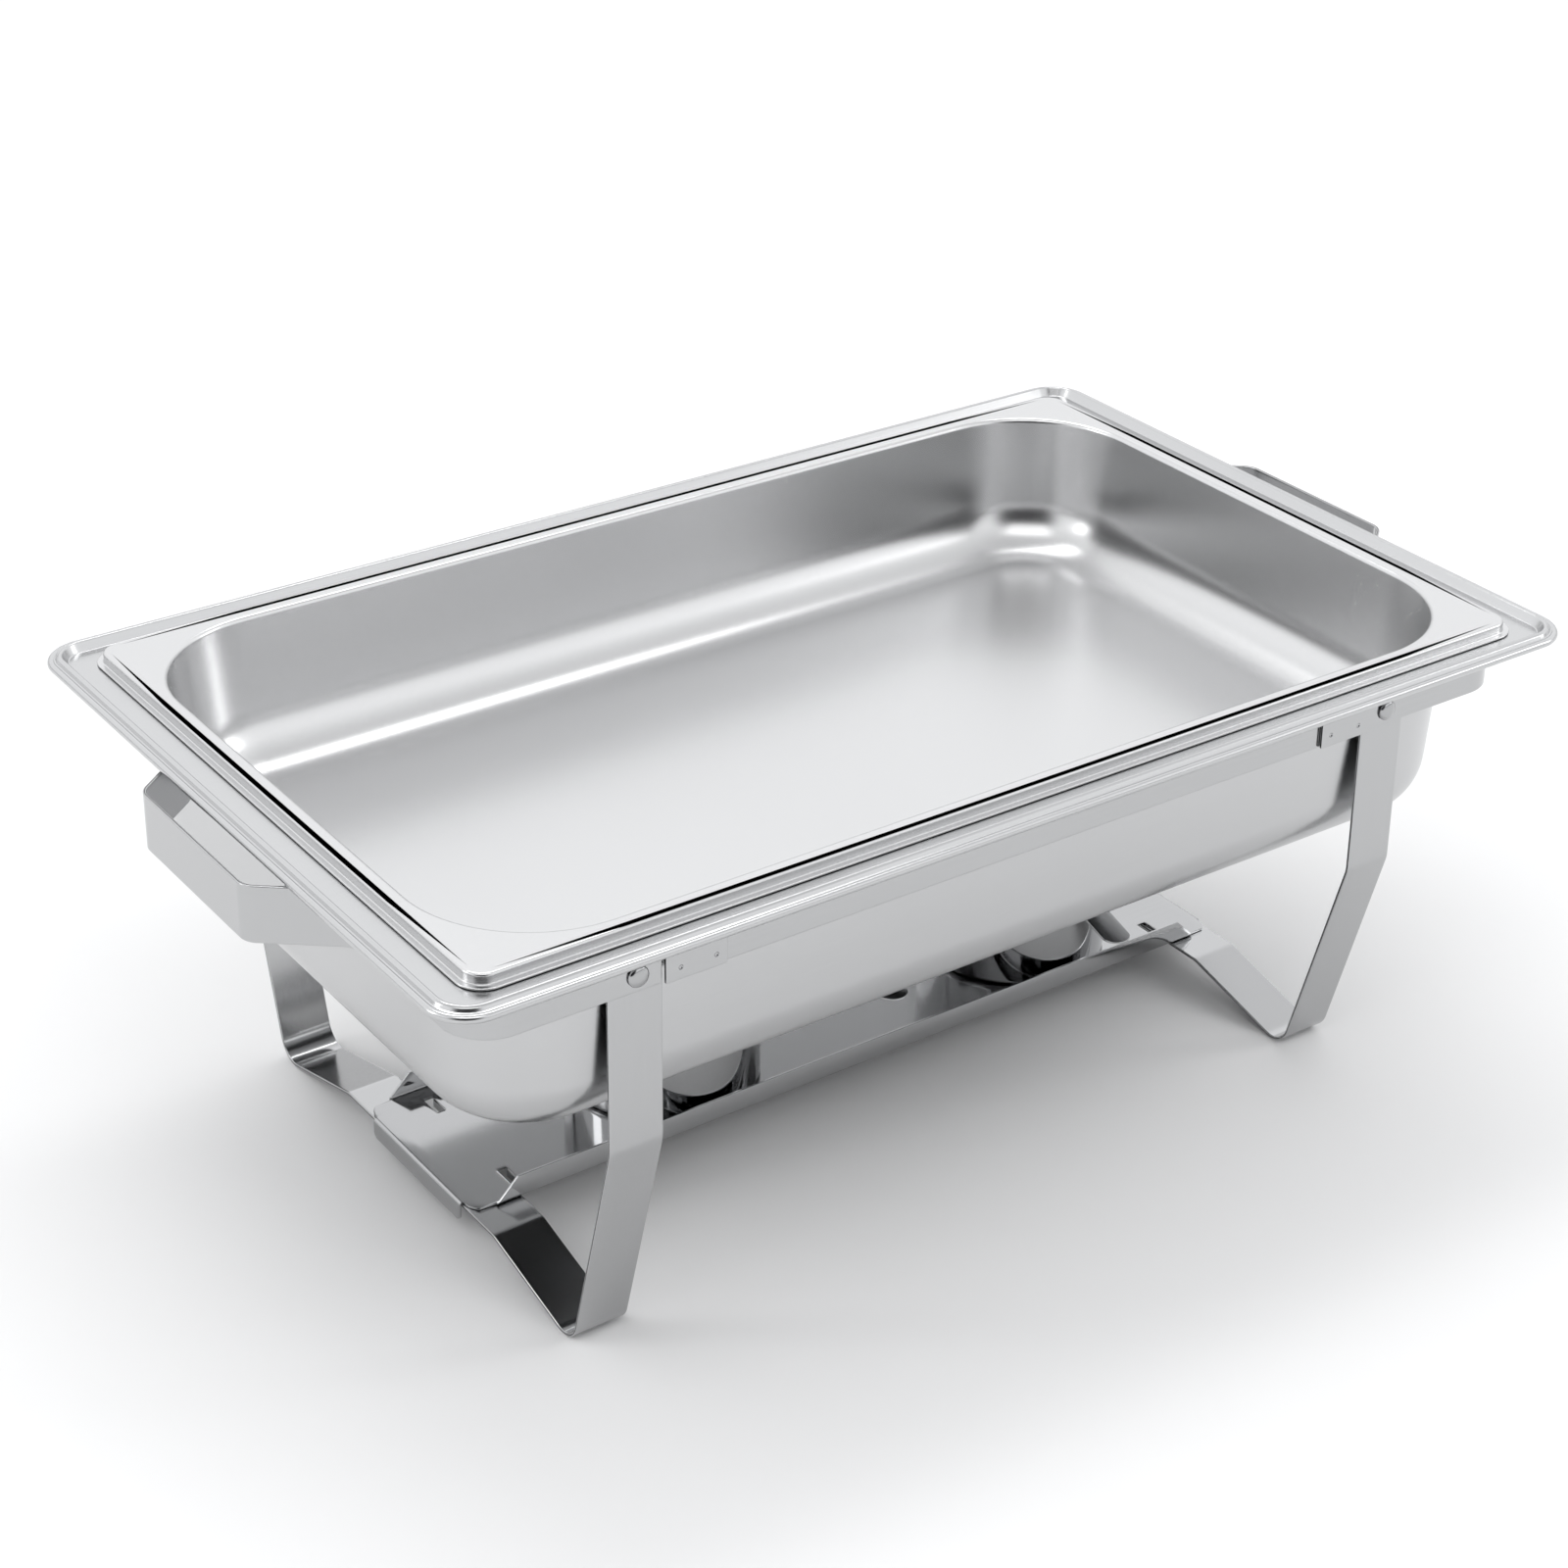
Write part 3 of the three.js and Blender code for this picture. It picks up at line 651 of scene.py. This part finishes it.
# ---- Fuel shelf ----
def shelf():
    """The tray's middle surface as rows across Y and columns along X, thickened afterwards."""
    mid = SHELF_Z + 0.5
    top = SHELF_Z + 11.0
    bend = 1.4
    across = rounded([(-SHELF_HALF_Y, top, 0), (-SHELF_HALF_Y, mid, bend), (0, mid, 0)], steps=6)
    rows = [(p.x, p.y) for p in across[:-1]]
    plate = [44.6, 43.5, 42.0, 40.5, 39.0, 38.3]
    plate += [37.5, 37.1, 36.7, 36.0, 35.3, 34.6, 34.0, 30.0, 26.5, 25.5, 24.0, 12.0, 0.0]
    rows += [(-y, mid) for y in plate if y < SHELF_HALF_Y - bend - 0.3]
    rows += [(-y, z) for y, z in reversed(rows[:-1])]

    def reach(y, z):
        """Half length of the tray in a row."""
        if z > mid + 0.01:
            return 192.0 - max(z - mid - bend * 0.3, 0)
        inside = SHELF_CORNER - (SHELF_HALF_Y + 0.5 - abs(y))
        if inside <= 0:
            return SHELF_HALF_X - bend
        return SHELF_HALF_X - bend - SHELF_CORNER + math.sqrt(max(SHELF_CORNER**2 - inside**2, 4.0))

    slot_in, slot_out = 175.5, 180.1
    stops = [0.0, 40.0, 80.0, 120.0, 150.0, 170.0, 174.0, slot_in, slot_in + 0.8, slot_out - 0.8, slot_out]
    stops += [182.0, 186.0, 192.0, 198.0, SHELF_HALF_X - bend]
    columns = [-x for x in reversed(stops[1:])] + stops
    full = SHELF_HALF_X - bend
    grid = []
    for y, z in rows:
        limit = reach(y, z)
        line = []
        for x in columns:
            share = x / full
            at = x if abs(x) <= 182.0 and limit > 183.0 else None
            if at is None:
                over = (abs(x) - 181.0) / (full - 181.0) if limit > 183.0 else abs(share)
                base = 181.0 if limit > 183.0 else 0.0
                at = math.copysign(base + (limit - base) * max(over, 0), x)
            line.append((at, y, z))
        grid.append(line)

    # End lips: a bend and a short drop, over the middle rows only
    lip_half = 37.1
    drop = 9.3
    steps = 5
    vertices, index, faces = [], {}, []

    def vertex(key, place):
        if key not in index:
            index[key] = len(vertices)
            vertices.append(place)
        return index[key]

    count = len(columns)
    for r in range(len(rows) - 1):
        for c in range(count - 1):
            y_mid = (rows[r][0] + rows[r + 1][0]) / 2
            x_mid = (columns[c] + columns[c + 1]) / 2
            flat = abs(rows[r][1] - mid) < 0.01 and abs(rows[r + 1][1] - mid) < 0.01
            if flat and 25.5 < abs(y_mid) < 37.5 and slot_in < abs(x_mid) < slot_out:
                continue
            corners = [(r, c), (r, c + 1), (r + 1, c + 1), (r + 1, c)]
            faces.append([vertex(k, grid[k[0]][k[1]]) for k in corners])
    for sign, column in ((-1, 0), (1, count - 1)):
        inner = [i for i, (y, z) in enumerate(rows) if abs(z - mid) < 0.01 and abs(y) <= lip_half + 0.01]
        lines = []
        for i in inner:
            y = rows[i][0]
            corner = max(3.0 - (lip_half - abs(y)), 0)
            low = drop - 0.5 - (3.0 - math.sqrt(max(9.0 - corner**2, 0)))
            places = []
            for k in range(1, steps + 1):
                t = math.pi / 2 * k / steps
                places.append((sign * (full + bend * math.sin(t)), y, mid - bend * (1 - math.cos(t))))
            places.append((sign * SHELF_HALF_X, y, mid - (bend + low) / 2))
            places.append((sign * SHELF_HALF_X, y, mid - low))
            lines.append([vertex((i, column), grid[i][column])] + [
                vertex((i, column, sign * (k + 1)), place) for k, place in enumerate(places)
            ])
        for one, two in zip(lines, lines[1:]):
            for k in range(len(one) - 1):
                quad = [one[k], one[k + 1], two[k + 1], two[k]]
                faces.append(quad if sign > 0 else quad[::-1])
    obj = make("fuel_shelf_tray", vertices, faces)
    thick = obj.modifiers.new("sheet", "SOLIDIFY")
    thick.thickness = 1.0 * MM
    thick.offset = 0.0
    thick.use_even_offset = True
    edge = obj.modifiers.new("edges", "BEVEL")
    edge.width = 0.22 * MM
    edge.segments = 2
    edge.limit_method = "ANGLE"
    edge.angle_limit = math.radians(60)
    apply_modifiers(obj)
    outward(obj)
    soften(obj, 35)
    return obj


def shelf_tab(name, sx, sy):
    """A tab lanced from a slot and bent down at its inner edge."""
    mid = SHELF_Z + 0.5
    outline = rounded([(173.5, mid, 0), (175.4, mid, 0.9), (175.4, SHELF_Z - 3.4, 0)], steps=6)
    path = end_points([Vector((sx * p.x, p.y)) for p in outline], 0.15)
    y = sy * 31.5
    obj = make(name, *strip(path, [5.0] * len(path), lambda a, b, w: (a, y + w, b), 0.9))
    outward(obj)
    return obj


tray = finish_piece(shelf(), shelf_finish, "shelf_body", "shelf_steel", "fuel_shelf")
for end, sx in (("left", -1), ("right", 1)):
    for side, sy in (("front", -1), ("rear", 1)):
        tab = shelf_tab(f"shelf_tab_{end}_{side}", sx, sy)
        finish_piece(tab, shelf_finish, "shelf_body", "shelf_steel")


# ---- Fuel holders ----
def cup_profile():
    inner = CUP_RADIUS - SHEET
    outline = [
        (0, 0.9, 0),
        (34.0, 0.9, 1.5),
        (36.0, 0.0, 0.8),
        (CUP_RADIUS, 0.0, 2.6),
        (CUP_RADIUS, 50.0, 0.8),
        (CUP_RADIUS - 1.0, 51.5, 0.8),
        (CUP_RADIUS - 1.0, 55.0, 0.8),
        (CUP_RADIUS, 56.5, 0.8),
        (CUP_RADIUS, CUP_HEIGHT, 0.38),
        (inner, CUP_HEIGHT, 0.38),
        (inner - 1.0, 54.0, 0),
        (inner - 1.0, 50.0, 0),
        (inner, 48.5, 0),
        (inner, SHEET, 2.0),
        (0, SHEET + 0.9, 0),
    ]
    return [(p.x, p.y) for p in rounded(outline, steps=6)]


def lid_profile():
    inner = CUP_RADIUS + GAP
    outer = inner + SHEET
    outline = [
        (LID_HOLE, 0.0, 0),
        (inner, 0.0, 0.3),
        (inner, -6.8, 0),
        (inner + 0.15, -7.0, 0),
        (outer - 0.15, -7.0, 0),
        (outer, -6.8, 0),
        (outer, SHEET, 0.7),
        (LID_HOLE + 0.2, SHEET, 0),
        (LID_HOLE, SHEET - 0.2, 0),
    ]
    return [(p.x, p.y) for p in rounded(outline, steps=6, closed=True, support=0.3)]


def damper_outline():
    """Half the swivel plate's outline, from the handle's tip round to the back of its disc."""
    half = 6.5
    tip = DAMPER_REACH - half
    upper = [
        Vector((tip + half * math.cos(t), half * math.sin(t)))
        for t in [math.pi / 2 * k / 12 for k in range(13)]
    ]
    boss = math.acos(math.sqrt(9.0**2 - half**2) / 9.0)
    last = math.asin(8.0 / 9.0)
    upper += [
        Vector((DAMPER_PIVOT + 9 * math.cos(t), 9 * math.sin(t)))
        for t in [boss + (math.pi - last - boss) * k / 16 for k in range(17)]
    ]
    first = math.asin(8.0 / 26.0)
    upper += [
        Vector((26 * math.cos(t), 26 * math.sin(t)))
        for t in [first + (math.pi - first) * k / 40 for k in range(41)]
    ]
    lower = [Vector((p.x, -p.y)) for p in reversed(upper[1:-1])]
    return upper + lower


def damper(name, place):
    outline = damper_outline()
    count = len(outline)
    normals = []
    for i, point in enumerate(outline):
        along = (outline[(i + 1) % count] - outline[i - 1]).normalized()
        normals.append(Vector((along.y, -along.x)))
    rings = []
    for inset, z in ((0.3, 0), (0.09, 0.09), (0, 0.3), (0, 0.7), (0.09, 0.91), (0.3, 1.0)):
        inner = [(p.x - n.x * inset, p.y - n.y * inset, z) for p, n in zip(outline, normals)]
        rings.append([tuple(place @ Vector(q)) for q in inner])
    obj = make(name, *loft(rings))
    outward(obj)
    hole = drill(2.1, 3.0, place @ Vector((DAMPER_PIVOT, 0, 0.5)), "Z")
    carve(obj, [hole])
    return obj


for side, x, yaw in HOLDERS:
    spin = Matrix.Translation((x, 0, 0)) @ Euler((0, 0, math.radians(yaw))).to_matrix().to_4x4()

    def at(z, out=0.0):
        return spin @ Matrix.Translation((out, 0, z))

    cup = make(side + "_fuel_cup_shell", *lathe(cup_profile(), 96, at(CUP_Z)))
    outward(cup)
    finish_piece(cup, cup_finish, side + "_cup_body", "cup_steel", side + "_fuel_cup")
    lid = make(side + "_lid_ring", *lathe(lid_profile(), 96, at(LID_Z)))
    outward(lid)
    carve(lid, [drill(2.1, 4.0, at(LID_Z, DAMPER_PIVOT).translation, "Z")])
    finish_piece(lid, cup_finish, side + "_lid_body", "lid_steel", side + "_cup_lid")
    plate = damper(side + "_damper_plate", at(DAMPER_Z))
    finish_piece(plate, rivet_finish, side + "_damper_body", "lid_steel", side + "_damper")
    foot = -SHEET - GAP * 2
    outline = [
        (0, foot - 1.0, 0),
        (2.88, foot - 1.0, 0.3),
        (2.88, foot, 0),
        (1.8, foot, 0),
        (1.8, 1.0 + GAP, 0),
        (3.6, 1.0 + GAP, 0.1),
        (3.3, 1.0 + GAP + 1.4, 0.9),
        (0, 1.0 + GAP + 1.4, 0),
    ]
    pin_profile = [(p.x, p.y) for p in rounded(outline, steps=6)]
    pin = make(side + "_damper_rivet", *lathe(pin_profile, 36, at(DAMPER_Z, DAMPER_PIVOT)))
    outward(pin)
    finish_piece(pin, rivet_finish, side + "_lid_body", "lid_steel", side + "_damper_pin")


# ---- Floor and light ----
def plain(name, colour, roughness):
    material = bpy.data.materials.new(name)
    material.use_nodes = True
    shader = material.node_tree.nodes["Principled BSDF"]
    shader.inputs["Base Color"].default_value = (*colour, 1)
    shader.inputs["Roughness"].default_value = roughness
    return material


FLOOR_HALF = 9000.0
FLOOR_Z = -0.1
corners = [(x * FLOOR_HALF, y * FLOOR_HALF, FLOOR_Z) for x, y in ((-1, -1), (1, -1), (1, 1), (-1, 1))]
floor = make("studio_floor", corners, [(0, 1, 2, 3)])
floor.data.materials.append(plain("studio_floor_paint", (0.9, 0.9, 0.9), 0.9))

# The studio: a pale tent, darker just over the horizon, with a dark opening on the camera's side
OPENING = Vector((-0.52, -0.73, 0.43)).normalized()
OPENING_INNER = 0.93  # cosines of the opening's angular size, dark inside and pale outside
OPENING_OUTER = 0.78
world = bpy.data.worlds.new("studio")
world.use_nodes = True
bpy.context.scene.world = world
sky = world.node_tree
background = sky.nodes["Background"]
direction = sky.nodes.new("ShaderNodeTexCoord")
towards = sky.nodes.new("ShaderNodeVectorMath")
towards.operation = "DOT_PRODUCT"
towards.inputs[1].default_value = OPENING
sky.links.new(direction.outputs["Generated"], towards.inputs[0])
opening = sky.nodes.new("ShaderNodeMapRange")
opening.interpolation_type = "SMOOTHSTEP"
opening.inputs["From Min"].default_value = OPENING_OUTER
opening.inputs["From Max"].default_value = OPENING_INNER
sky.links.new(towards.outputs["Value"], opening.inputs["Value"])
height = sky.nodes.new("ShaderNodeSeparateXYZ")
sky.links.new(direction.outputs["Generated"], height.inputs["Vector"])
tent = sky.nodes.new("ShaderNodeValToRGB")
# Pairs of the elevation's sine and the brightness there
TENT = ((0.07, 0.95), (0.12, 0.35), (0.28, 1.0), (0.6, 1.0), (0.95, 0.62))
while len(tent.color_ramp.elements) < len(TENT):
    tent.color_ramp.elements.new(0.5)
for element, (at_height, bright) in zip(tent.color_ramp.elements, TENT):
    element.position = at_height
    element.color = (bright * 0.985, bright * 0.99, bright, 1)
sky.links.new(height.outputs["Z"], tent.inputs["Fac"])
shade = sky.nodes.new("ShaderNodeMix")
shade.data_type = "RGBA"
shade.inputs["B"].default_value = (0.03, 0.03, 0.032, 1)
sky.links.new(tent.outputs["Color"], shade.inputs["A"])
sky.links.new(opening.outputs["Result"], shade.inputs["Factor"])
sky.links.new(shade.outputs["Result"], background.inputs["Color"])
background.inputs["Strength"].default_value = 1.3


def softbox(name, place, target, size, power):
    light = bpy.data.lights.new(name, "AREA")
    light.shape = "RECTANGLE"
    light.size, light.size_y = size
    light.energy = power
    obj = bpy.data.objects.new(name, light)
    bpy.context.scene.collection.objects.link(obj)
    obj.location = place
    obj.rotation_euler = (Vector(target) - Vector(place)).to_track_quat("-Z", "Y").to_euler()
    return obj


softbox("overhead", (0.3, 0.9, 2.4), (0, 0, 0.1), (2.0, 0.5), 14)
softbox("front_fill", (-0.9, -1.3, 2.7), (-0.1, -0.3, 0), (2.2, 1.4), 14)
softbox("left_side", (-2.4, 0.9, 1.3), (0, 0, 0.15), (0.5, 1.2), 7)
softbox("right_side", (2.3, -1.4, 1.4), (0, 0, 0.15), (0.5, 1.2), 7)

# ---- Camera ----
# The view direction, its roll and the lens were solved from the object's own edges.
AZIMUTH = math.radians(-35.56)
ELEVATION = math.radians(25.60)
ROLL = math.radians(0.76)
CAMERA_PLACE = Vector((-0.7420, -1.0261, 0.8286))
LENS = 74.84
SHIFT = (-0.0094, -0.1125)

camera_data = bpy.data.cameras.new("camera")
camera = bpy.data.objects.new("camera", camera_data)
bpy.context.scene.collection.objects.link(camera)
back = Vector((
    math.sin(AZIMUTH) * math.cos(ELEVATION),
    -math.cos(AZIMUTH) * math.cos(ELEVATION),
    math.sin(ELEVATION),
))
right = (-back).cross(Vector((0, 0, 1))).normalized()
up = right.cross(-back)
rolled_right = right * math.cos(ROLL) + up * math.sin(ROLL)
rolled_up = up * math.cos(ROLL) - right * math.sin(ROLL)
axes = Matrix((rolled_right, rolled_up, back)).transposed().to_4x4()
camera.matrix_world = Matrix.Translation(CAMERA_PLACE) @ axes
camera_data.sensor_width = 36.0
camera_data.lens = LENS
camera_data.shift_x, camera_data.shift_y = SHIFT
camera_data.clip_start = 0.05
bpy.context.scene.camera = camera
bpy.context.scene.view_settings.view_transform = "Standard"
